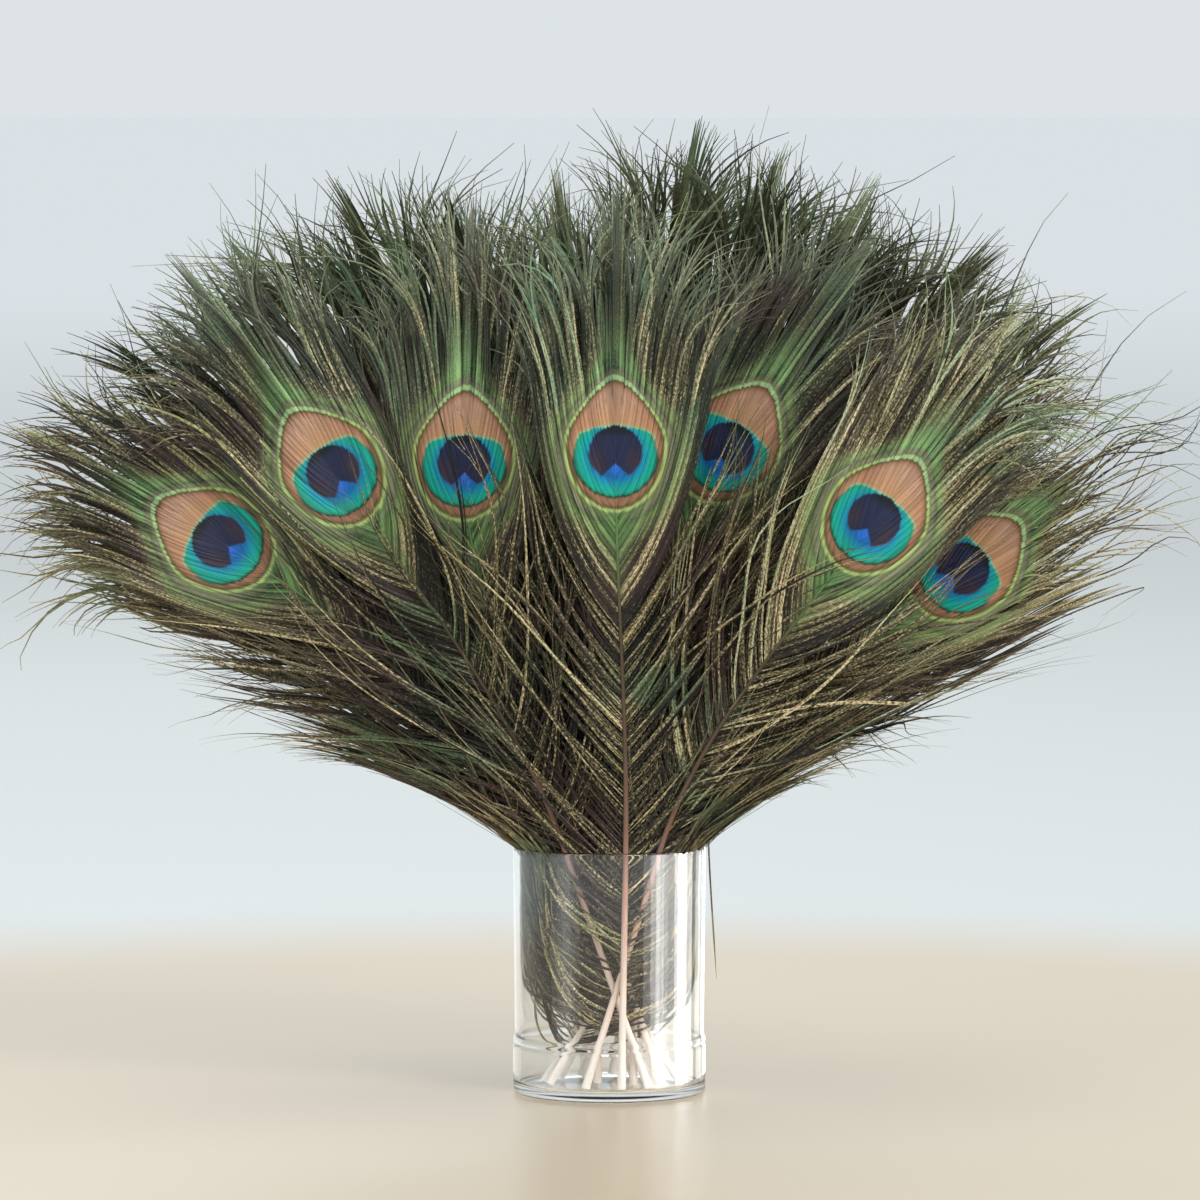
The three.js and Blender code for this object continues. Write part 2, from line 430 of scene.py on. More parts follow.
def makeBarbMaterial(eyeGroup):
    material, tree, shader = newMaterial("barbs")
    chance, share = split(tree, uvOf(tree, "barbShade"))[:2]
    strip = uvOf(tree, "OFBake")
    fleck = noiseAt(tree, stretched(tree, strip, barbFinish["fleck"]), 1.0, 2.0)
    eye = useGroup(tree, eyeGroup)
    jitter = spreadOut(tree, chance, barbFinish["jitter"])
    tree.links.new(uvOf(tree, "featherPlace"), eye.inputs["Place"])
    tree.links.new(jitter, eye.inputs["Jitter"])
    tree.links.new(ownColour(tree, chance, share, fleck, strip), eye.inputs["Plain"])

    # barbs in the markings differ a little in brightness, those in the green round them most: partly their
    # own tone, partly painted highlights and painted shade between barbs, which may go above the colour
    # under them
    inMarks, outside = barbFinish["calm"]
    swing = calc(tree, "MULTIPLY_ADD", eye.outputs["Shine"], -inMarks, 1.0)
    swing = calc(tree, "MULTIPLY", swing, calc(tree, "MULTIPLY_ADD", eye.outputs["Own"], -outside, 1.0))
    byFleck, byChance = barbFinish["vary"]
    vary = calc(tree, "ADD", spreadOut(tree, fleck, byFleck), spreadOut(tree, chance, byChance))
    middle = calc(tree, "MULTIPLY_ADD", eye.outputs["Own"], *barbFinish["brightness"])
    lightness = calc(tree, "MULTIPLY_ADD", vary, swing, middle)
    lightness = calc(tree, "MAXIMUM", lightness, barbFinish["darkest"])
    grey = tree.nodes.new("ShaderNodeCombineColor")
    for socket in grey.inputs:
        tree.links.new(lightness, socket)
    colour = blendColours(tree, 1.0, eye.outputs["Color"], grey.outputs[0], "MULTIPLY")
    tree.links.new(colour, shader.inputs["Base Color"])
    low, high = barbFinish["roughness"]
    tree.links.new(calc(tree, "MULTIPLY_ADD", fleck, high - low, low), shader.inputs["Roughness"])
    shader.inputs["Specular IOR Level"].default_value = barbFinish["specular"]
    addBump(tree, shader, fleck, barbFinish["bump"], barbFinish["bumpDepth"])
    return material


quillFinish = {
    "along": [                     # from the cut foot to the eye
        (0.00, (252, 244, 234)),
        (0.10, (242, 218, 202)),
        (0.24, (196, 150, 132)),
        (0.34, (138, 102, 88)),
        (0.46, (92, 72, 58)),
        (0.70, (70, 60, 44)),
        (1.00, (56, 54, 38)),
    ],
    "grain": (20.0, 1200.0, 1.0),  # how close it lies along the shaft and across the map's strips
    "grainStrength": 0.16,         # how far grain and chance move the shades along
    "chanceStrength": 0.10,
    "roughness": 0.34,
    "bump": 0.2,
    "bumpDepth": 0.1,
}


def makeQuillMaterial(eyeGroup):
    material, tree, shader = newMaterial("quill")
    chance, share = split(tree, uvOf(tree, "barbShade"))[:2]
    grain = noiseAt(tree, stretched(tree, uvOf(tree, "OFBake"), quillFinish["grain"]), 1.0, 3.0)
    level = calc(tree, "ADD", share, spreadOut(tree, grain, quillFinish["grainStrength"]))
    level = calc(tree, "ADD", level, spreadOut(tree, chance, -quillFinish["chanceStrength"]))
    plain = colourRamp(tree, level, quillFinish["along"])
    eye = useGroup(tree, eyeGroup)
    tree.links.new(uvOf(tree, "featherPlace"), eye.inputs["Place"])
    eye.inputs["Jitter"].default_value = 0.0
    tree.links.new(plain, eye.inputs["Plain"])
    tree.links.new(eye.outputs["Color"], shader.inputs["Base Color"])
    shader.inputs["Roughness"].default_value = quillFinish["roughness"]
    addBump(tree, shader, grain, quillFinish["bump"], quillFinish["bumpDepth"])
    return material


eyeGroup = makeEyeGroup()
barbMaterial = makeBarbMaterial(eyeGroup)
quillMaterial = makeQuillMaterial(eyeGroup)
print("feather finishes made")


# where the feathers of the bunch lie, in mm
bunch = {
    "rimHeight": 85.0,
    "firstLayer": 5.2,
    "layerPitch": 2.42,
    "spreadRadius": 26.0,
    "spreadBend": 20.0,
    "frontLean": 1.15,             # degrees for each layer away from the middle
    "backLean": 1.75,
    "insideRadius": 30.2,          # what the vase leaves for the barbs
    "opening": (1.38, 0.006),      # how fast the bunch may widen over the rim
    "openingShares": (0.64, 1.06, 1.15),   # least, most, and how few locks come near the most
    "openingDraw": 0.025,
    "leftWider": (0.09, 60.0),     # how much wider it opens on the left, and over which distance
    "coneSoftness": 2.0,
    "lowest": (9.0, 3.0),          # how low barbs hang in the vase, and how softly they stop there
    "sagStart": (8.0, 50.0),       # over the rim: nothing sags at the first, all of it at the second
    "sides": (-228.0, 225.0),      # how far barbs may reach
    "frontBack": (-76.0, 102.0),
    "heights": (-60.0, 344.0),
    "softness": 24.0,
    "behindFirst": 5.0,            # the others stay this far behind the first feather's middle
    "firstWidth": (42.0, 20.0),    # beside its eye and over it, where that begins and holds
    "firstTop": (34.0, 12.0),
    "combTurn": 1.7,               # how long before an eye a barb turns aside, in window radii
    "combPast": (0.2, 60.0),       # how much it comes back past the eye, over which length
    "combSpare": 1.05,             # how far it clears the window, over what it needs
    "combRoot": 12.0,              # nothing turns aside at the root, and all of it past this length
}

# Front to back, as in the frame: where each shaft stands and passes the rim, the middle of its
# eye, its lean there in degrees, the share of barbs combed off it, and how much browner it is.
standing = [
    ("front_4", 4, 5.5, (2, 222), 0, 1.0, 0.0),
    ("front_6", -8, 17, (89, 199), 35, 1.0, -0.04),
    ("front_2", 13, -15, (-93, 215), -35, 0.97, 0.1),
    ("front_3", 18, -9, (-49, 218), 1, 0.93, 0.05),
    ("front_1", 15, -24, (-132, 191), -58, 1.0, 0.1),
    ("front_5", 8, 9, (40, 222), 32, 0.3, 0.12),
    ("front_7", -20, 26, (120, 181), 50, 0.85, -0.1),
    ("back_6", -4, -4, (-9, 226), -5, 0.0, -0.1),
    ("back_1", 24, -28, (-125, 177), -72, 0.0, -0.2),
    ("back_13", -22, 28, (124, 155), 66, 0.0, -0.05),
    ("back_12", -17, 27, (126, 187), 52, 0.5, -0.15),
    ("back_2", 20, -26, (-110, 203), -45, 0.5, 0.1),
    ("back_11", -10, 24, (108, 217), 42, 0.6, -0.1),
    ("back_3", 13, -20, (-77, 218), -33, 0.7, -0.02),
    ("back_10", 1, 18, (79, 220), 33, 0.8, -0.02),
    ("back_4", 8, -12, (-57, 231), -22, 0.9, 0.0),
    ("back_9", -6, 12, (56, 231), 22, 0.9, 0.0),
    ("back_5", -9, -9, (-43, 221), -12, 0.97, 0.0),
    ("back_8", 9, 9, (37, 237), 13, 0.95, 0.05),
    ("back_7", 3, 3, (19, 242), 6, 1.0, -0.1),
]

# Ragged thins and curls a feather's ends, splay opens its right side wider, untidy is how far its
# loose barbs stray, window is what is combed free of the eye: right, up and radius.
usual = {"ragged": 0.0, "splay": 0.0, "untidy": 1.0, "window": (0.0, 1.5, 20.0)}
habits = {
    "front_4": {"splay": 0.22, "untidy": 0.3, "bare": 40.0},     # bare up to there from the cut foot
    "front_1": {"ragged": 0.15},
    "front_5": {"window": (17.0, 14.0, 6.0)},
    "front_7": {"ragged": 1.0, "window": (9.0, -2.0, 12.0)},
    "back_1": {"ragged": 0.4},
    "back_13": {"ragged": 1.0},
    "back_12": {"ragged": 1.0},
    "back_2": {"ragged": 0.15},
    "back_11": {"ragged": 0.4},
}


def makeFeather(name, foot, rim, eye, lean, clear, warm):
    face = -1 if name.startswith("front") else 1       # the side that shows the eye
    place = {"foot": foot, "rim": rim, "eye": eye, "lean": lean, "face": face}
    own = habits.get(name, {})
    return {"name": "feather_" + name, "clear": clear, "warm": warm, **place, **usual, **own}


feathers = [makeFeather(*row) for row in standing]

shaft = {
    "footHeight": 4.2,
    "radii": (1.5, 1.2, 0.95, 0.45, 0.16),    # foot, over it, rim, under the eye, end
    "footFlare": 18.0,
    "underEye": 30.0,
    "endOverEye": 8.0,
    "sides": 10,
    "step": 5.0,
    "runOn": 160.0,                # how far past the eye its line goes on, for the barbs
}


def routeOf(feather):
    # the shaft's middle line in mm, at even steps: straight in the vase, one bend to the eye
    foot = np.array((feather["foot"], shaft["footHeight"]), float)
    rim = np.array((feather["rim"], bunch["rimHeight"]), float)
    eye = np.array(feather["eye"], float)
    lean = math.radians(feather["lean"])
    eyeWay = np.array((math.sin(lean), math.cos(lean)))
    rimWay = (rim - foot) / np.linalg.norm(rim - foot)
    handle = np.linalg.norm(eye - rim) / 3
    corners = [rim, rim + rimWay * handle, eye - eyeWay * handle, eye]
    t = np.linspace(0, 1, 300)[:, None]
    weights = [(1 - t) ** 3, 3 * (1 - t) ** 2 * t, 3 * (1 - t) * t ** 2, t ** 3]
    bend = sum(weight * corner for weight, corner in zip(weights, corners))
    inside = foot + (rim - foot) * np.linspace(0, 1, 60)[:-1, None]
    beyond = eye + eyeWay * np.linspace(0, shaft["runOn"], 60)[1:, None]
    line = np.vstack([inside, bend, beyond])
    steps = np.concatenate([[0], np.cumsum(np.linalg.norm(np.diff(line, axis=0), axis=1))])
    even = np.arange(0, steps[-1], 1.0)
    x = np.interp(even, steps, line[:, 0])
    z = np.interp(even, steps, line[:, 1])
    way = np.stack([np.gradient(x), np.gradient(z)], 1)
    way /= np.linalg.norm(way, axis=1)[:, None]
    toRim = np.linalg.norm(rim - foot)
    toEye = toRim + np.linalg.norm(np.diff(bend, axis=0), axis=1).sum()
    return {"s": even, "x": x, "z": z, "wayX": way[:, 0], "wayZ": way[:, 1], "toRim": toRim, "toEye": toEye}


def layerDepth(layer, x, z):
    half = len(feathers) // 2
    steps = layer - (half - 1) if layer < half else layer - half
    side = -1 if layer < half else 1
    lean = math.radians(steps * (bunch["frontLean"] if side < 0 else bunch["backLean"]))
    sideways = np.maximum(0, np.abs(x) - bunch["spreadRadius"])
    out = np.hypot(sideways, np.maximum(0, z - bunch["rimHeight"]))
    start = side * bunch["firstLayer"] + steps * bunch["layerPitch"]
    return start + math.tan(lean) * out ** 2 / (out + bunch["spreadBend"])


def bendInto(feather, layer, route, u, v, off):
    # from the flat feather, u across and v along from the eye, to the bunch
    s = route["toEye"] + v
    wayX = np.interp(s, route["s"], route["wayX"])
    wayZ = np.interp(s, route["s"], route["wayZ"])
    x = np.interp(s, route["s"], route["x"]) + wayZ * u
    z = np.interp(s, route["s"], route["z"]) - wayX * u
    y = layerDepth(layer, x, z) + feather["face"] * off
    return np.stack([x, y, z], -1)


def smooth(value, start, end):
    share = np.clip((value - start) / (end - start), 0, 1)
    return share * share * (3 - 2 * share)


def keepInVase(points, share):
    # barbs bend along the glass, and lie along the cone in which the bunch opens over the rim
    rise = points[..., 2] - bunch["rimHeight"]
    up = np.maximum(0, rise)
    wider, over = bunch["leftWider"]
    share = share * (1 - wider * np.tanh(points[..., 0] / over))
    first, second = bunch["opening"]
    limit = bunch["insideRadius"] + share * (first * up + second * up ** 2)
    slope = np.where(rise > 0, share * (first + 2 * second * up), 0)
    radius = np.maximum(1e-6, np.hypot(points[..., 0], points[..., 1]))
    soft = bunch["coneSoftness"]
    push = soft * np.logaddexp(0, (radius - limit) / soft) / (1 + slope ** 2)
    points[..., 0] *= 1 - push / radius
    points[..., 1] *= 1 - push / radius
    points[..., 2] += push * slope
    low, soft = bunch["lowest"]
    points[..., 2] = low + soft * np.logaddexp(0, (points[..., 2] - low) / soft)
    return points


def sagged(points, sag):
    # the outer ends bend down under their weight, square to the way the barb runs
    start, end = bunch["sagStart"]
    sag = sag * smooth(points[..., 2], bunch["rimHeight"] + start, bunch["rimHeight"] + end)
    chord = points[:, -1:] - points[:, :1]
    chord = chord / np.maximum(1e-6, np.linalg.norm(chord, axis=-1, keepdims=True))
    down = np.array((0.0, 0.0, -1.0))
    return points + sag[..., None] * (down - (chord @ down)[..., None] * chord)


def keepBehindFirst(points):
    # nothing of the other feathers crosses in front of the first one's shaft
    eyeX, eyeZ = feathers[0]["eye"]
    begins, holds = bunch["firstTop"]
    near = smooth(np.abs(points[..., 0] - eyeX), *bunch["firstWidth"])
    near = near * smooth(points[..., 2], eyeZ + begins, eyeZ + holds)
    front = layerDepth(0, points[..., 0], points[..., 2]) + bunch["behindFirst"]
    points[..., 1] += near * np.maximum(0, front - points[..., 1])
    return points


def keepInBox(points):
    soft = bunch["softness"]
    for axis, (low, high) in enumerate((bunch["sides"], bunch["frontBack"], bunch["heights"])):
        first, last = low + soft, high - soft
        place = points[..., axis]
        place = np.where(place < first, first + soft * np.tanh((place - first) / soft), place)
        place = np.where(place > last, last + soft * np.tanh((place - last) / soft), place)
        points[..., axis] = place
    return points


barbs = {
    "seed": 17,
    "ridge": 0.5,                  # height of a barb's back over its width
    "smoothAngle": 40.0,
    "undersides": 24,              # shades of the plain undersides
    "lockEdgeShade": 0.65,              # painted shade: how much darker the barbs at a lock's edges are, as the gaps between locks
    "lockRise": 0.5,               # how far its middle ones stand out, mm
    "tuck": 0.65,                  # how far the ends lean in, over the feather's own depth
    "tuckDraw": (0.2, 2.0),        # least and most of that, lock by lock
    # A draw is how much each barb differs, and how much each lock does. Angles are in degrees.
    "eye": {
        "rings": 16,
        "roots": (-62.0, 13.0),    # along the shaft, from the middle of the eye
        "pitch": 0.60,
        "rootDraw": 0.15,
        "reach": 34.0,             # how far out the widest of them runs beside the eye
        "overlap": 0.5,            # the first barbs of one side lie over the other side's
        "splayed": (0.5, 0.9),     # which barbs the splay takes: 0 is the top one, 1 the lowest
        "together": (0.3, 7.0),    # the barbs over the shaft's end stay together, by their reach
        "turn": (14.0, 24.0),      # off the shaft at the top root, and how much more lower down
        "tips": (88.0, 40.0),      # where the top ones end, and how much lower the last ones do
        "tipDraw": (3.0, 3.5),
        "wild": (0.05, 0.08),      # share of barbs that go their own way, and more where ragged
        "ragged": (25.0, 32.0),    # what the ragged ones lose of their length
        "wildLonger": 5.0,
        "open": (16.0, 60.0),      # where the barbs start to open, and over which length
        "spread": 0.45,            # how much wider they are there, over their reach
        "spreadDraw": (2.2, 5.0),
        "flareDraw": (8.0, 4.0),
        "wave": (1.0, 8.0, 7.0),   # of all, the most of wild ragged ones, and how close waves lie
        "liftDraw": (3.5, 9.0),
        "riseDraw": 0.25,
        "hookDraw": (22.0, 18.0),
        "hookFrom": 0.72,          # over the length
        "droop": 0.16,             # the ends at both sides of the bunch bend outwards, for each mm
        "eyeFades": 16.0,          # the length over which twist and width change past the eye
        "twistDraw": (6.0, 26.0),  # near the eye, and how much more away from it
        "width": (0.35, 0.48),     # near the eye and away from it
        "widthDraw": (0.85, 1.15),
        "wildWidth": 0.7,
        "mostTwist": 40.0,
        "ragWidth": 0.12,
        "sag": (4.0, 5.0),         # of every barb, and more of it lock by lock
        "chance": (0.74, 0.24),    # paleness of the top ones, and what the lowest lose of it
        "chanceDraw": (0.14, 0.2),
        "lock": (4, 8),            # barbs that hang together
        "gather": (0.36, 0.6),     # where they open, and low beside the eye
    },
    "loose": {
        "rings": 16,
        "lowestRoot": (9.0, 32.0),     # over the cut foot
        "pitch": (0.80, 1.32, 60.0),   # under the eye and far below it, and how far that is
        "pitchDraw": (0.7, 1.3),
        "lowerDown": 50.0,         # below the top root
        "inVase": (70.0, 60.0),    # where it starts below the top root, and over which length
        "length": (104.0, 114.0, 78.0),    # under the eye, lower down, and in the vase
        "lengthDraw": (0.84, 1.08),
        "start": (38.0, 6.0),      # off the shaft at the root, and how much more lower down
        "startDraw": (1.4, 1.2),
        "end": (10.0, 17.0, -14.0),    # off the shaft at the tip, more lower down, and in the vase
        "endDraw": (2.5, 4.0),
        "splay": 40.0,
        "fall": (56.0, 1.5),       # the most that barbs in the vase start further round, and
                                   # what of it they lose on the side to which the shaft leans
        "vaseDraw": 8.0,           # how much further round they end
        "swell": (3.0, 9.0),       # slow change of the angle down the shaft, and its length
        "wild": (0.10, 0.08),
        "short": 0.08,             # what all but the wild ones lose, over their length
        "ragged": (0.20, 0.42),    # what the ragged ones lose besides
        "wildLonger": 0.12,
        "curl": (12.0, 46.0, 9.0),     # of tidy and wild barbs, and of locks
        "curlFrom": 0.6,
        "waves": (3.0, 36.0),
        "waveTurns": (6.0, 11.0),
        "liftDraw": (3.0, 4.0, 8.0),   # each barb, each lock, and more of it where untidy
        "tuck": 0.22,              # how much of the bunch's tuck they follow, in degrees for each mm
        "leastLift": -20.0,
        "bowDraw": 5.0,
        "width": (0.34, 0.56),
        "widthDraw": (0.8, 1.2),
        "wildWidth": 0.65,
        "ragWidth": 0.2,
        "twistDraw": (25.0, 45.0),     # at the root, and how much more at the tip
        "chance": 0.56,
        "chanceDraw": (0.16, 0.2),
        "lock": (2, 5),
        "gather": 0.75,
        "sag": (1.0, 5.0),         # least and most of it
        "lockSag": 5.0,
        "raggedSag": 7.0,
        "stray": 0.05,             # share of barbs that cross the others
        "strayTurn": 25.0,
        "strayLift": (5.0, 30.0),
        "strayPaler": 0.25,
    },
    # one long barb has slipped over the rim and hangs down outside the glass: two bends
    "hanging": {
        "feather": "feather_front_7",
        "bends": [
            [(28.4, -12.5, 89.3), (30.5, -11.5, 95.0), (33.4, -6.0, 95.0), (33.9, -4.0, 86.0)],
            [(33.9, -4.0, 86.0), (34.3, -3.0, 74.0), (35.6, -3.0, 56.0), (36.7, -3.0, 39.0)],
        ],
        "width": 0.3,
    },
}


def drawLocks(random, count, sizes):
    # runs of neighbouring barbs, as numbers 0, 0, 0, 1, 1, 2, ..., and how far from each run's
    # middle they lie
    runs = random.integers(sizes[0], sizes[1] + 1, count)
    places = np.concatenate([(np.arange(run) + 0.5) * 2 / run - 1 for run in runs])
    return np.repeat(np.arange(count), runs)[:count], places[:count]


def eachAndLock(random, lockDraw, draw):
    each, lock = draw
    return random.normal(0, each, len(lockDraw)) + lockDraw * lock


def anyTurn(random, count=None):
    return random.uniform(0, 6.28, count)


def gatherLocks(values, locks, amount):
    # draws each barb towards the middle of its lock
    for lock in range(locks[-1] + 1):
        rows = locks == lock
        values[rows] += (values[rows].mean(axis=0) - values[rows]) * amount[rows]
    return values


def curlEnds(u, v, t, start, degrees):
    # turns each barb's last stretch more and more, outwards where degrees are above zero
    turn = np.radians(degrees)[:, None] * np.clip((t - start) / (1 - start), 0, 1)[:, 1:] ** 1.4
    du, dv = np.diff(u, axis=1), np.diff(v, axis=1)
    u[:, 1:] = u[:, :1] + np.cumsum(du * np.cos(turn) + dv * np.sin(turn), 1)
    v[:, 1:] = v[:, :1] + np.cumsum(dv * np.cos(turn) - du * np.sin(turn), 1)
    return u, v


def openingShares(random, locks):
    low, high, few = bunch["openingShares"]
    shares = low + (high - low) * random.uniform(0, 1, locks[-1] + 1) ** few
    return (shares[locks] + random.normal(0, bunch["openingDraw"], len(locks)))[:, None]


def strandsOf(random, side, locks, t, chance, **shapes):
    # what both kinds of barbs hand on, on either side of the shaft
    shapes["u"] = shapes["u"] * side
    shares = openingShares(random, locks)
    luck = random.uniform(0, 1, locks[-1] + 1)[locks]
    chance = np.clip(chance, 0, 1)[:, None] * np.ones_like(t)
    return {"share": shares, "luck": luck, "chance": chance, "t": t * np.ones((len(locks), 1)), **shapes}


def eyeBarbs(random, side, feather, tuck):
    kind = barbs["eye"]
    ragged = feather["ragged"]
    low, high = kind["roots"]
    roots = np.arange(high, low, -kind["pitch"])
    n = len(roots)
    roots = roots + random.uniform(-kind["rootDraw"], kind["rootDraw"], n)
    locks, place = drawLocks(random, n, kind["lock"])
    lockDraw = random.normal(0, 1, (locks[-1] + 1, 3))[locks].T
    far = np.clip((high - roots) / (high - low), 0, 1)       # 0 at the top root, 1 at the lowest
    splay = feather["splay"] * max(0, side)
    reach = kind["reach"] * far * (1 + splay * smooth(far, *kind["splayed"])) - kind["overlap"]
    free = smooth(reach, *kind["together"])
    turn, more = kind["turn"]
    turn = np.radians(turn + more * np.minimum(1, far * 2.2))
    ease = np.maximum(0.5, reach) / np.tan(turn)
    top, lower = kind["tips"]
    tips = top - lower * far ** 1.3 + eachAndLock(random, lockDraw[0], kind["tipDraw"])
    share, more = kind["wild"]
    wild = random.uniform(0, 1, n) < share + more * ragged
    least, more = kind["ragged"]
    tips -= ragged * np.where(wild, -kind["wildLonger"], least + more * random.uniform(0, 1, n) ** 0.6)
    t = np.linspace(0, 1, kind["rings"])[None, :] ** 0.9
    v = roots[:, None] + (tips - roots)[:, None] * t
    u = reach[:, None] * (1 - np.exp(-(v - roots[:, None]) / ease[:, None]))

    # past the egg the ends open, wave, lean and bend
    start, length = kind["open"]
    over = np.maximum(0, v - start) / length
    spread = kind["spread"] * reach + free * eachAndLock(random, lockDraw[1], kind["spreadDraw"])
    flare = free * eachAndLock(random, lockDraw[0], kind["flareDraw"])
    u += over ** 2 * spread[:, None] + over ** 4 * flare[:, None]
    tidy, rough, turns = kind["wave"]
    wave = free * (1 + 2 * ragged) * random.normal(0, tidy, n)
    wave += np.where(wild, ragged * random.uniform(-rough, rough, n), 0)
    u += over * wave[:, None] * np.sin(over * turns + anyTurn(random, n)[:, None])
    lean = random.uniform(*barbs["tuckDraw"], locks[-1] + 1)[locks]
    lift = (0.25 + 0.75 * free) * eachAndLock(random, lockDraw[2], kind["liftDraw"]) - tuck * lean
    rise = random.uniform(0, kind["riseDraw"], n) + barbs["lockRise"] * free * (1 - place ** 2)
    off = rise[:, None] * smooth(t, 0, 0.3) + over ** 1.5 * lift[:, None]
    opening, beside = kind["gather"]
    gather = opening * smooth(over, 0.1, 0.6) * (1 - 0.8 * smooth(over, 0.6, 1.1))
    gather = np.maximum(gather, beside * smooth(far, 0.5, 0.75)[:, None] * smooth(t, 0.15, 0.45))
    u = gatherLocks(u, locks, gather)
    off = gatherLocks(off, locks, gather)
    each, lock = kind["hookDraw"]
    hook = random.normal(0, each, n) * np.where(wild, 2, 1) + lockDraw[2] * lock
    hook += kind["droop"] * side * feather["eye"][0]
    u, v = curlEnds(u, v, t, kind["hookFrom"], free * hook)

    inEye = 1 - np.clip((v - start) / kind["eyeFades"], 0, 1)
    near, away = kind["width"]
    away = away - kind["ragWidth"] * ragged
    width = away + (near - away) * inEye
    width *= np.clip((1 - t) * 4.0, 0.12, 1) ** 0.8 * np.clip(0.55 + t * 8, 0, 1)
    near, away = kind["twistDraw"]
    turned = free * np.clip(random.normal(0, away, n), -kind["mostTwist"], kind["mostTwist"])
    twist = np.radians(random.normal(0, near, n)[:, None] + (1 - inEye) * turned[:, None])
    top, lost = kind["chance"]
    chance = top - lost * far + eachAndLock(random, lockDraw[1], kind["chanceDraw"])
    # painted shade: barbs at a lock's edges are darker, for the dark gaps between locks
    chance -= barbs["lockEdgeShade"] * place ** 2
    width *= random.uniform(*kind["widthDraw"], (n, 1)) * np.where(wild, kind["wildWidth"], 1)[:, None]
    least, more = kind["sag"]
    sag = over ** 2.5 * (least + more * np.abs(lockDraw[0]))[:, None]
    return strandsOf(random, side, locks, t, chance, u=u, v=v, off=off, width=width, twist=twist, sag=sag)


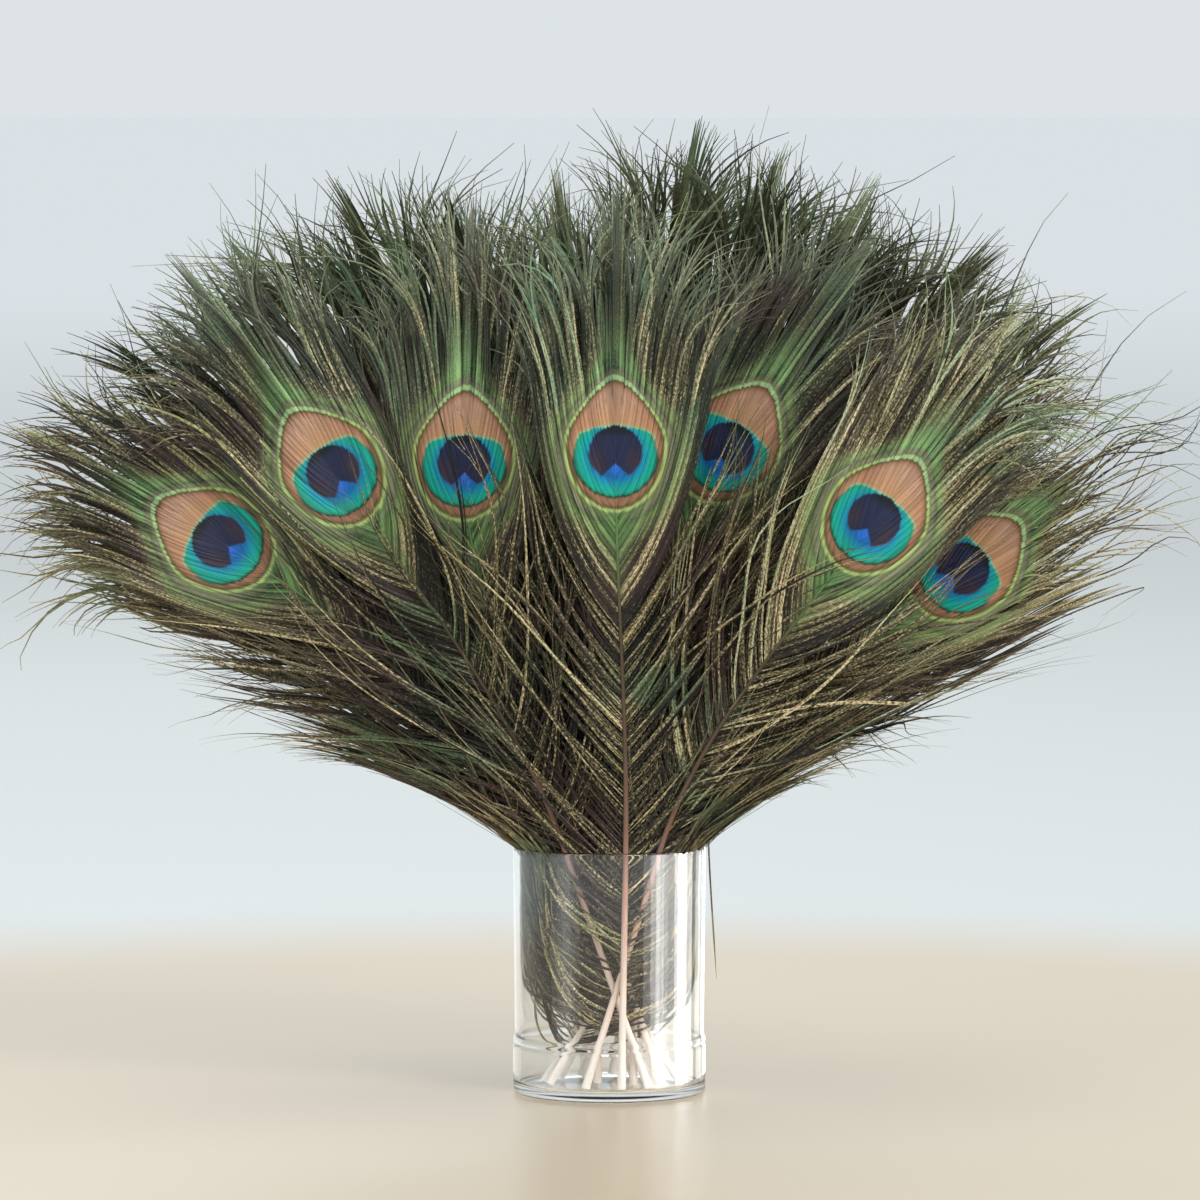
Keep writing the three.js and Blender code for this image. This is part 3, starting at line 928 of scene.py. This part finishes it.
def looseBarbs(random, side, feather, tuck):
    kind = barbs["loose"]
    ragged, untidy = feather["ragged"], feather["untidy"]
    high = barbs["eye"]["roots"][0] - 0.5
    near, far, over = kind["pitch"]
    roots = []
    spot = high
    while spot > feather["lowest"]:
        roots.append(spot)
        pitch = near + (far - near) * min(1, (high - spot) / over)
        spot -= pitch * random.uniform(*kind["pitchDraw"])
    roots = np.array(roots)
    n = len(roots)
    locks, place = drawLocks(random, n, kind["lock"])
    lockDraw = random.normal(0, 1, (locks[-1] + 1, 4))[locks].T
    stray = random.uniform(0, 1, n) < kind["stray"] * untidy
    down = np.clip((high - roots) / kind["lowerDown"], 0, 1)
    below, over = kind["inVase"]
    inVase = np.clip((high - below - roots) / over, 0, 1)
    first, middle, last = kind["length"]
    length = first + (middle - first) * down + (last - middle) * inVase
    length *= random.uniform(*kind["lengthDraw"], n)

    # angles off the shaft at the root and at the tip
    angle, more = kind["start"]
    start = angle + more * down + eachAndLock(random, lockDraw[0], kind["startDraw"])
    angle, more, inside = kind["end"]
    end = angle + more * down + inside * inVase
    end += untidy * eachAndLock(random, lockDraw[0], kind["endDraw"])
    end += kind["splay"] * feather["splay"] * max(0, side) * (1 - inVase)
    downhill = max(0.0, side * (feather["rim"] - feather["foot"]) / bunch["rimHeight"])
    most, lost = kind["fall"]
    start += inVase * random.uniform(0, most, n) * (1 - lost * downhill)
    end += inVase * np.abs(random.normal(0, kind["vaseDraw"], n))
    swell, over = kind["swell"]
    end += swell * untidy * np.sin(roots / over + anyTurn(random))
    end += np.where(stray, random.normal(0, kind["strayTurn"], n), 0)

    t = np.linspace(0, 1, kind["rings"])[None, :]
    share, more = kind["wild"]
    wild = random.uniform(0, 1, n) < share + more * ragged
    least, more = kind["ragged"]
    short = kind["short"] + ragged * (least + more * random.uniform(0, 1, n) ** 0.6)
    length *= np.where(wild, 1 + kind["wildLonger"] * ragged, 1 - short)
    tidy, rough, shared = kind["curl"]
    curl = random.normal(0, 1, n) * np.where(wild, rough, tidy) + lockDraw[1] * shared
    tidy, rough = kind["waves"]
    waves = random.normal(0, 1, n) * tidy + np.where(wild, random.uniform(-rough, rough, n), 0)
    turns = t * random.uniform(*kind["waveTurns"], n)[:, None] + anyTurn(random, n)[:, None]
    angle = start[:, None] + (end - start)[:, None] * t ** 0.8 + waves[:, None] * t * np.sin(turns)
    begins = kind["curlFrom"]
    angle += curl[:, None] * np.clip((t - begins) / (1 - begins), 0, 1) ** 1.8
    angle = np.radians(angle[:, :-1])
    step = (length / (kind["rings"] - 1))[:, None]
    root = np.zeros((n, 1))
    u = np.hstack([root, np.cumsum(np.sin(angle) * step, 1)])
    v = np.hstack([root, np.cumsum(np.cos(angle) * step, 1)]) + roots[:, None]

    lean = random.uniform(*barbs["tuckDraw"], locks[-1] + 1)[locks]
    each, lock, more = kind["liftDraw"]
    lift = eachAndLock(random, lockDraw[2], (each, lock + more * untidy)) - kind["tuck"] * tuck * lean
    lift = np.maximum(lift, kind["leastLift"]) + np.where(stray, random.uniform(*kind["strayLift"], n), 0)
    bow = random.normal(0, kind["bowDraw"], n)
    off = (length * np.sin(np.radians(lift)))[:, None] * t + t ** 2 * bow[:, None]
    off += smooth(t, 0, 0.2) * (barbs["lockRise"] * (1 - place ** 2))[:, None]
    gather = kind["gather"] * smooth(t, 0.05, 0.40) * (1 - 0.85 * smooth(t, 0.45, 0.9))
    gather = gather * np.where(stray, 0, 1)[:, None]
    u = gatherLocks(u, locks, gather)
    v = gatherLocks(v, locks, gather)
    size = random.uniform(*kind["width"], n) * np.where(wild, kind["wildWidth"], 1)
    size *= 1 - kind["ragWidth"] * ragged
    width = size[:, None] * random.uniform(*kind["widthDraw"], (n, kind["rings"]))
    width *= np.clip((1 - t) * 2.2, 0.08, 1) ** 0.9 * np.clip(0.5 + t * 6, 0, 1)
    atRoot, atTip = kind["twistDraw"]
    twist = np.radians(random.normal(0, atRoot, n)[:, None] + t * random.normal(0, atTip, n)[:, None])
    sag = random.uniform(*kind["sag"], n) + kind["lockSag"] * np.abs(lockDraw[3]) ** 1.5
    sag = t ** 3 * (sag + ragged * kind["raggedSag"])[:, None]
    chance = kind["chance"] + eachAndLock(random, lockDraw[3], kind["chanceDraw"])
    # painted shade: barbs at a lock's edges are darker, for the dark gaps between locks
    chance += np.where(stray, kind["strayPaler"], 0) - barbs["lockEdgeShade"] * place ** 2
    return strandsOf(random, side, locks, t, chance, u=u, v=v, off=off, width=width, twist=twist, sag=sag)


def combAround(points, lengths, keep, centre, radius):
    # bends the kept barbs aside where they would cross an eye behind them
    flat = points[..., (0, 2)]
    gap = np.linalg.norm(flat - centre, axis=-1)
    nearest, closest = gap.argmin(axis=1), gap.min(axis=1)
    last = points.shape[1] - 1
    comesBack, over = bunch["combPast"]
    for row in np.flatnonzero((closest < radius) & keep):
        spot = nearest[row]
        before = flat[row, max(0, spot - 1)] - flat[row, min(last, spot + 1)]
        square = np.array((-before[1], before[0])) / max(1e-6, np.linalg.norm(before))
        away = square * (1 if (flat[row, spot] - centre) @ square >= 0 else -1)
        distance = np.arange(last + 1) * lengths[row] / last
        past = distance - distance[spot]
        turning = np.exp(-(past / (bunch["combTurn"] * radius)) ** 2)
        swell = np.where(past < 0, turning, 1 - comesBack * np.clip(past / over, 0, 1))
        swell *= np.clip(distance / bunch["combRoot"], 0, 1)
        shift = (radius - closest[row]) * bunch["combSpare"] * swell
        points[row, :, 0] += away[0] * shift
        points[row, :, 2] += away[1] * shift
    return points


def tubeRings(points, width, twist, face):
    # three corners round each ring: both edges and the ridge between them
    way = np.gradient(points, axis=1)
    way /= np.maximum(1e-9, np.linalg.norm(way, axis=-1, keepdims=True))
    front = np.array((0.0, face, 0.0))
    side = np.cross(way, front)
    side /= np.maximum(1e-9, np.linalg.norm(side, axis=-1, keepdims=True))
    normal = np.cross(side, way)
    cos, sin = np.cos(twist)[..., None], np.sin(twist)[..., None]
    turned = side * cos + normal * sin
    up = normal * cos - side * sin
    w = width[..., None]
    return np.stack([points - turned * w, points + up * w * barbs["ridge"], points + turned * w], 2)


def tubeFaces(first, count, rings, sides):
    # quads round and along each tube, and one face over each end
    start = first + np.arange(count)[:, None, None] * rings * sides
    ring = np.arange(rings - 1)[None, :, None] * sides
    corner = np.arange(sides)[None, None, :]
    a = start + ring + corner
    b = start + ring + (corner + 1) % sides
    quads = np.stack([a, b, b + sides, a + sides], -1).reshape(-1, 4)
    starts = first + np.arange(count)[:, None] * rings * sides
    caps = np.vstack([starts + np.arange(sides)[::-1], starts + (rings - 1) * sides + np.arange(sides)])
    return quads, caps


def hangingPath(count):
    over, down = barbs["hanging"]["bends"]
    first = interpolate_bezier(*[Vector(corner) for corner in over], count // 2)
    second = interpolate_bezier(*[Vector(corner) for corner in down], count - count // 2 + 1)
    return np.array([tuple(point) for point in first + second[1:]])


def growBarbs(random, feather, layer, route):
    # both sides of the feather, near the eye and below it, as they lie in the bunch
    tuck = barbs["tuck"] * abs(layerDepth(layer, *feather["eye"]))
    kinds = []
    for grow in (eyeBarbs, looseBarbs):
        sides = [grow(random, side, feather, tuck) for side in (-1, 1)]
        strands = {key: np.concatenate([part[key] for part in sides]) for key in sides[0]}
        points = bendInto(feather, layer, route, strands["u"], strands["v"], strands["off"])
        lengths = np.linalg.norm(np.diff(points, axis=1), axis=-1).sum(axis=1)
        for other, hidden in enumerate(feathers):
            behind = other > layer if hidden["face"] < 0 else other < layer
            if hidden["clear"] > 0 and (behind or (other == layer and grow is looseBarbs)):
                keep = strands["luck"] < hidden["clear"]
                right, up, radius = hidden["window"]
                points = combAround(points, lengths, keep, np.array(hidden["eye"]) + (right, up), radius)
        points = sagged(keepInVase(points, strands["share"]), strands["sag"])
        points = keepInBox(points if layer == 0 else keepBehindFirst(points))
        hanging = barbs["hanging"]
        if grow is looseBarbs and feather["name"] == hanging["feather"]:
            points[-1] = hangingPath(points.shape[1])
            strands["width"][-1] = hanging["width"] * np.clip((1 - strands["t"][-1]) * 8, 0.2, 1)
        strands["corners"] = tubeRings(points, strands["width"], strands["twist"], feather["face"])
        strands["chance"] = np.clip(strands["chance"] - feather["warm"], 0, 1)
        strands["marked"] = grow is eyeBarbs
        kinds.append(strands)
    return kinds


def growShaft(feather, layer, route):
    end = route["toEye"] + shaft["endOverEye"]
    s = np.append(np.arange(0, end, shaft["step"]), end)
    stations = [0, shaft["footFlare"], route["toRim"], route["toEye"] - shaft["underEye"], end]
    radius = np.interp(s, stations, shaft["radii"])
    middle = bendInto(feather, layer, route, np.zeros_like(s), s - route["toEye"], np.zeros_like(s))
    way = np.gradient(middle, axis=0)
    way /= np.linalg.norm(way, axis=1)[:, None]
    side = np.cross(way, (0.0, feather["face"], 0.0))
    side /= np.linalg.norm(side, axis=1)[:, None]
    normal = np.cross(side, way)
    turns = np.arange(shaft["sides"]) * 2 * math.pi / shaft["sides"]
    spokes = side[:, None] * np.cos(turns)[None, :, None] + normal[:, None] * np.sin(turns)[None, :, None]
    return s, middle[:, None] + radius[:, None, None] * spokes


# The bake map has one strip for each barb, some for the shaft, and the undersides' shades.
mapLayout = {
    "ends": (0.004, 0.992),        # where a strip starts, and its length
    "corners": (0.1, 0.5, 0.9),    # a barb's three corners across its strip
    "shaftRows": 12.0,
}


def mapRows(barbCount):
    underside = barbCount + mapLayout["shaftRows"] + 2
    return {"shaft": barbCount + 1, "underside": underside, "all": underside + barbs["undersides"]}


def stripPlace(along, row, rows):
    start, length = mapLayout["ends"]
    return np.stack([start + length * along, row / rows["all"]], 1)


def barbParts(kind, first, firstRow, rows):
    # faces, with where they lie on the feather, their shade and their place on the map
    count, rings = kind["u"].shape
    place = np.stack([kind["u"], kind["v"]], -1).reshape(-1, 2) / eyeMark["placeScale"]
    if not kind["marked"]:
        place[:] = eyeMark["elsewhere"]
    shade = np.stack([kind["chance"], kind["t"]], -1).reshape(-1, 2)
    quads, caps = tubeFaces(first, count, rings, 3)
    parts = []
    for group in (quads, caps):
        loops = group.ravel() - first
        loopPlace, loopShade = place[loops // 3], shade[loops // 3]
        row = firstRow + loops // (3 * rings)
        if group is quads:         # the third quad of each ring is the plain underside
            under = np.arange(len(loops)) // 4 % 3 == 2
            level = np.floor(loopShade[:, 0] * (barbs["undersides"] - 1e-6))
            loopShade[under, 0] = ((level + 0.5) / barbs["undersides"])[under]
            loopPlace[under] = eyeMark["elsewhere"]
            row = np.where(under, rows["underside"] + level, row)
        row = row + np.array(mapLayout["corners"])[loops % 3]
        strip = stripPlace(loopShade[:, 1], row, rows)
        maps = {"featherPlace": loopPlace, "barbShade": loopShade, "OFBake": strip}
        parts.append({"faces": group, "finish": 0, **maps})
    return parts


def shaftParts(s, toEye, luck, first, rows):
    sides = shaft["sides"]
    quads, caps = tubeFaces(first, 1, len(s), sides)
    parts = []
    for group in (quads, caps):
        loops = group.ravel() - first
        along = s[loops // sides]
        turn = (loops % sides).astype(float)
        place = np.stack([0 * along, along - toEye], 1) / eyeMark["placeScale"]
        if group is quads:         # the last strip closes on the far side of the map
            block = turn.reshape(-1, 4)
            block[:, (1, 2)] = np.where(block[:, (1, 2)] < block[:, (0, 3)], sides, block[:, (1, 2)])
            place[np.repeat(block[:, 0] >= sides / 2, 4)] = eyeMark["elsewhere"]     # underneath
        share = along / s[-1]
        shade = np.stack([luck + 0 * along, share], 1)
        strip = stripPlace(share, rows["shaft"] + turn * mapLayout["shaftRows"] / sides, rows)
        maps = {"featherPlace": place, "barbShade": shade, "OFBake": strip}
        parts.append({"faces": group, "finish": 1, **maps})
    return parts


def featherMesh(feather, layer):
    random = np.random.default_rng(barbs["seed"] * 100 + layer)
    route = routeOf(feather)
    bare = random.uniform(*barbs["loose"]["lowestRoot"])
    feather["lowest"] = feather.get("bare", bare) - route["toEye"]
    kinds = growBarbs(random, feather, layer, route)
    s, shaftCorners = growShaft(feather, layer, route)
    rows = mapRows(sum(len(kind["u"]) for kind in kinds))
    corners, parts = [], []
    first, row = 0, 0
    for kind in kinds:
        parts += barbParts(kind, first, row, rows)
        corners.append(kind["corners"].reshape(-1, 3))
        first += len(corners[-1])
        row += len(kind["u"])
    parts += shaftParts(s, route["toEye"], random.uniform(), first, rows)
    corners.append(shaftCorners.reshape(-1, 3))

    mesh = bpy.data.meshes.new(feather["name"])
    faces = [face for part in parts for face in part["faces"].tolist()]
    mesh.from_pydata((np.concatenate(corners) * mm).tolist(), [], faces)
    mesh.materials.append(barbMaterial)
    mesh.materials.append(quillMaterial)
    finish = [np.full(len(part["faces"]), part["finish"], np.int32) for part in parts]
    mesh.polygons.foreach_set("material_index", np.concatenate(finish))
    for name in ("featherPlace", "barbShade", "OFBake"):
        places = np.concatenate([part[name] for part in parts]).astype(np.float32)
        mesh.uv_layers.new(name=name).data.foreach_set("uv", places.ravel())
    mesh.uv_layers["OFBake"].active = True
    mesh.uv_layers["OFBake"].active_render = True
    mesh.validate()
    return mesh


def makeFeathers():
    pieces = []
    for layer, feather in enumerate(feathers):
        piece = bpy.data.objects.new(feather["name"] + "_plume", featherMesh(feather, layer))
        bpy.context.scene.collection.objects.link(piece)
        deselectAll()
        piece.select_set(True)
        bpy.context.view_layer.objects.active = piece
        bpy.ops.object.mode_set(mode="EDIT")
        bpy.ops.mesh.select_all(action="SELECT")
        bpy.ops.mesh.normals_make_consistent(inside=False)
        bpy.ops.object.mode_set(mode="OBJECT")
        bpy.ops.object.shade_smooth_by_angle(angle=math.radians(barbs["smoothAngle"]))
        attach(piece, "root")
        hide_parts(feather["name"])
        pieces.append(piece)
    return pieces


plumes = makeFeathers()
triangles = [sum(len(face.vertices) - 2 for face in plume.data.polygons) for plume in plumes]
print("feathers grown, triangles:", max(triangles), "in the largest,", sum(triangles), "in all")


vase = {
    "sides": 128,
    "smoothAngle": 50.0,
    # radius and height in mm, from the underside up the wall, over the rim and down inside
    "profile": [
        (27.5, 0.7), (29.4, 0.2), (30.4, 0.0), (31.8, 0.0), (32.6, 0.3), (33.0, 1.2), (33.0, 1.8),
        (33.0, 15.6), (33.0, 16.2), (32.7, 16.9), (32.7, 17.3), (33.0, 18.0), (32.94, 18.8), (32.5, 19.7),
        (32.4, 20.5), (32.41, 21.5), (32.99, 83.4), (33.0, 84.2), (32.8, 84.8), (32.3, 85.0), (31.8, 84.8),
        (31.6, 84.2), (31.59, 83.4), (31.0, 20.0), (31.0, 4.8), (31.0, 4.2), (30.6, 3.3), (29.8, 3.0),
        (29.0, 3.0),
    ],
    "colour": (252, 254, 254),
    "roughness": 0.05,
    "ior": 1.47,
    "waves": (46.0, 46.0, 9.0),    # how close its unevenness lies, round it and up it
    "bump": 0.12,
    "bumpDepth": 1.0,
}


def makeVase():
    radius, height = vase["profile"][0]
    deselectAll()
    bpy.ops.mesh.primitive_circle_add(
        vertices=vase["sides"], radius=radius * mm, fill_type="NOTHING", location=(0, 0, height * mm))
    piece = bpy.context.object
    piece.name = "vase_glass"
    bpy.ops.object.mode_set(mode="EDIT")
    bpy.ops.mesh.select_all(action="SELECT")
    for nextRadius, nextHeight in vase["profile"][1:]:
        rise = (nextHeight - height) * mm
        bpy.ops.mesh.extrude_region_move(TRANSFORM_OT_translate={"value": (0, 0, rise)})
        size = nextRadius / radius
        bpy.ops.transform.resize(value=(size, size, 1))
        radius, height = nextRadius, nextHeight
    bpy.ops.mesh.edge_face_add()                      # the floor inside
    bpy.ops.mesh.select_all(action="DESELECT")
    bpy.ops.mesh.select_mode(type="EDGE")
    bpy.ops.mesh.select_non_manifold()
    bpy.ops.mesh.edge_face_add()                      # the underside
    bpy.ops.mesh.select_all(action="SELECT")
    bpy.ops.mesh.normals_make_consistent(inside=False)
    bpy.ops.object.mode_set(mode="OBJECT")
    bpy.ops.object.transform_apply(location=True, rotation=True, scale=True)
    bpy.ops.object.shade_smooth_by_angle(angle=math.radians(vase["smoothAngle"]))
    material, tree, shader = newMaterial("clearGlass")
    shader.inputs["Base Color"].default_value = tint(*vase["colour"])
    shader.inputs["Roughness"].default_value = vase["roughness"]
    shader.inputs["IOR"].default_value = vase["ior"]
    shader.inputs["Transmission Weight"].default_value = 1.0
    unevenness = noiseAt(tree, stretched(tree, objectPlace(tree), vase["waves"]), 1.0, 1.0)
    addBump(tree, shader, unevenness, vase["bump"], vase["bumpDepth"])
    piece.data.materials.clear()
    piece.data.materials.append(material)
    piece.visible_shadow = False                      # clear, so it lets the light in
    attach(piece, "root")
    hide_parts("vase")
    return piece


vasePiece = makeVase()
print("vase made")


studio = {                         # in mm and watts
    "floorSize": 60000.0,
    "floorNear": (199, 184, 160),
    "floorFar": (201, 205, 203),
    "floorFade": (380.0, 620.0),
    "horizon": (250, 251, 252),
    "horizonFade": (1200.0, 9000.0),
    "floorRoughness": 0.32,
    "floorSpecular": 0.4,
    "world": (226, 232, 236),
    "worldStrength": 0.95,
    "lampAim": (0.0, 0.0, 160.0),
    "lamps": [                     # name, place, size, power, colour
        ("key", (1300, -1500, 1700), (900, 900), 26.0, (255, 250, 244)),
        ("fill", (-1600, -1400, 1500), (1200, 1200), 10.0, (240, 246, 255)),
        ("top", (0, 100, 2200), (1400, 1400), 14.0, (255, 255, 255)),
        ("behind", (-500, 1900, 1500), (1200, 1000), 10.0, (246, 250, 255)),
    ],
    # panels that only the glass mirrors: turn from the front, width in degrees, distance, brightness
    "panels": [
        (72.0, 44.0, 62.0, 6.5), (74.0, 18.0, 63.0, 7.0), (74.0, 9.0, 64.0, 12.0),
        (44.0, 26.0, 62.0, 2.8), (45.0, 14.0, 63.0, 5.5), (46.0, 5.0, 64.0, 8.0),
        (-42.0, 30.0, 62.0, 0.7), (-41.0, 18.0, 63.0, 0.8), (-40.0, 8.0, 64.0, 0.9),
        (106.0, 14.0, 62.0, 2.5), (129.0, 24.0, 63.0, 2.6), (-124.0, 40.0, 62.0, 0.7),
    ],
    "panelHeight": 92.0,
    "panelMiddle": 46.5,
    "panelColour": (255, 255, 255),
}


def makeFloor():
    deselectAll()
    bpy.ops.mesh.primitive_plane_add(size=studio["floorSize"] * mm, location=(0, 0, 0))
    floor = bpy.context.object
    floor.name = "floor"
    material, tree, shader = newMaterial("floorFinish")
    length = tree.nodes.new("ShaderNodeVectorMath")
    length.operation = "LENGTH"
    tree.links.new(objectPlace(tree), length.inputs[0])
    colour = tint(*studio["floorNear"])
    for reach, further in (("floorFade", "floorFar"), ("horizonFade", "horizon")):
        near, far = studio[reach]
        share = fade(tree, length.outputs["Value"], near * mm, far * mm)
        colour = blendColours(tree, share, colour, tint(*studio[further]))
    tree.links.new(colour, shader.inputs["Base Color"])
    shader.inputs["Roughness"].default_value = studio["floorRoughness"]
    shader.inputs["Specular IOR Level"].default_value = studio["floorSpecular"]
    floor.data.materials.append(material)


def addLamp(name, place, aim, size, power, colour):
    turn = (aim - place).to_track_quat("-Z", "Y").to_euler()
    bpy.ops.object.light_add(type="AREA", location=place, rotation=turn)
    lamp = bpy.context.object
    lamp.name = name
    lamp.data.shape = "RECTANGLE"
    lamp.data.size = size[0]
    lamp.data.size_y = size[1]
    lamp.data.energy = power
    lamp.data.color = tint(*colour)[:3]
    lamp.visible_camera = False
    return lamp


def makeStudio():
    makeFloor()
    world = bpy.data.worlds.new("studio")
    bpy.context.scene.world = world
    world.use_nodes = True
    sky = world.node_tree.nodes["Background"]
    sky.inputs["Color"].default_value = tint(*studio["world"])
    sky.inputs["Strength"].default_value = studio["worldStrength"]
    for name, place, size, power, colour in studio["lamps"]:
        aim = Vector(studio["lampAim"]) * mm
        addLamp(name, Vector(place) * mm, aim, Vector(size) * mm, power, colour)
    glassOnly = bpy.data.collections.new("glassOnly")
    glassOnly.objects.link(vasePiece)
    height = studio["panelHeight"] * mm
    for number, (turn, wide, distance, brightness) in enumerate(studio["panels"]):
        angle = math.radians(turn)
        away = distance * mm
        place = Vector((away * math.sin(angle), -away * math.cos(angle), studio["panelMiddle"] * mm))
        width = 2 * away * math.tan(math.radians(wide / 2))
        power = brightness * math.pi * width * height
        aim = Vector((0, 0, place.z))
        colour = studio["panelColour"]
        panel = addLamp("panel" + str(number), place, aim, (width, height), power, colour)
        panel.visible_transmission = False
        panel.light_linking.receiver_collection = glassOnly
    bpy.context.scene.view_settings.view_transform = "Standard"


makeStudio()
print("studio lit")
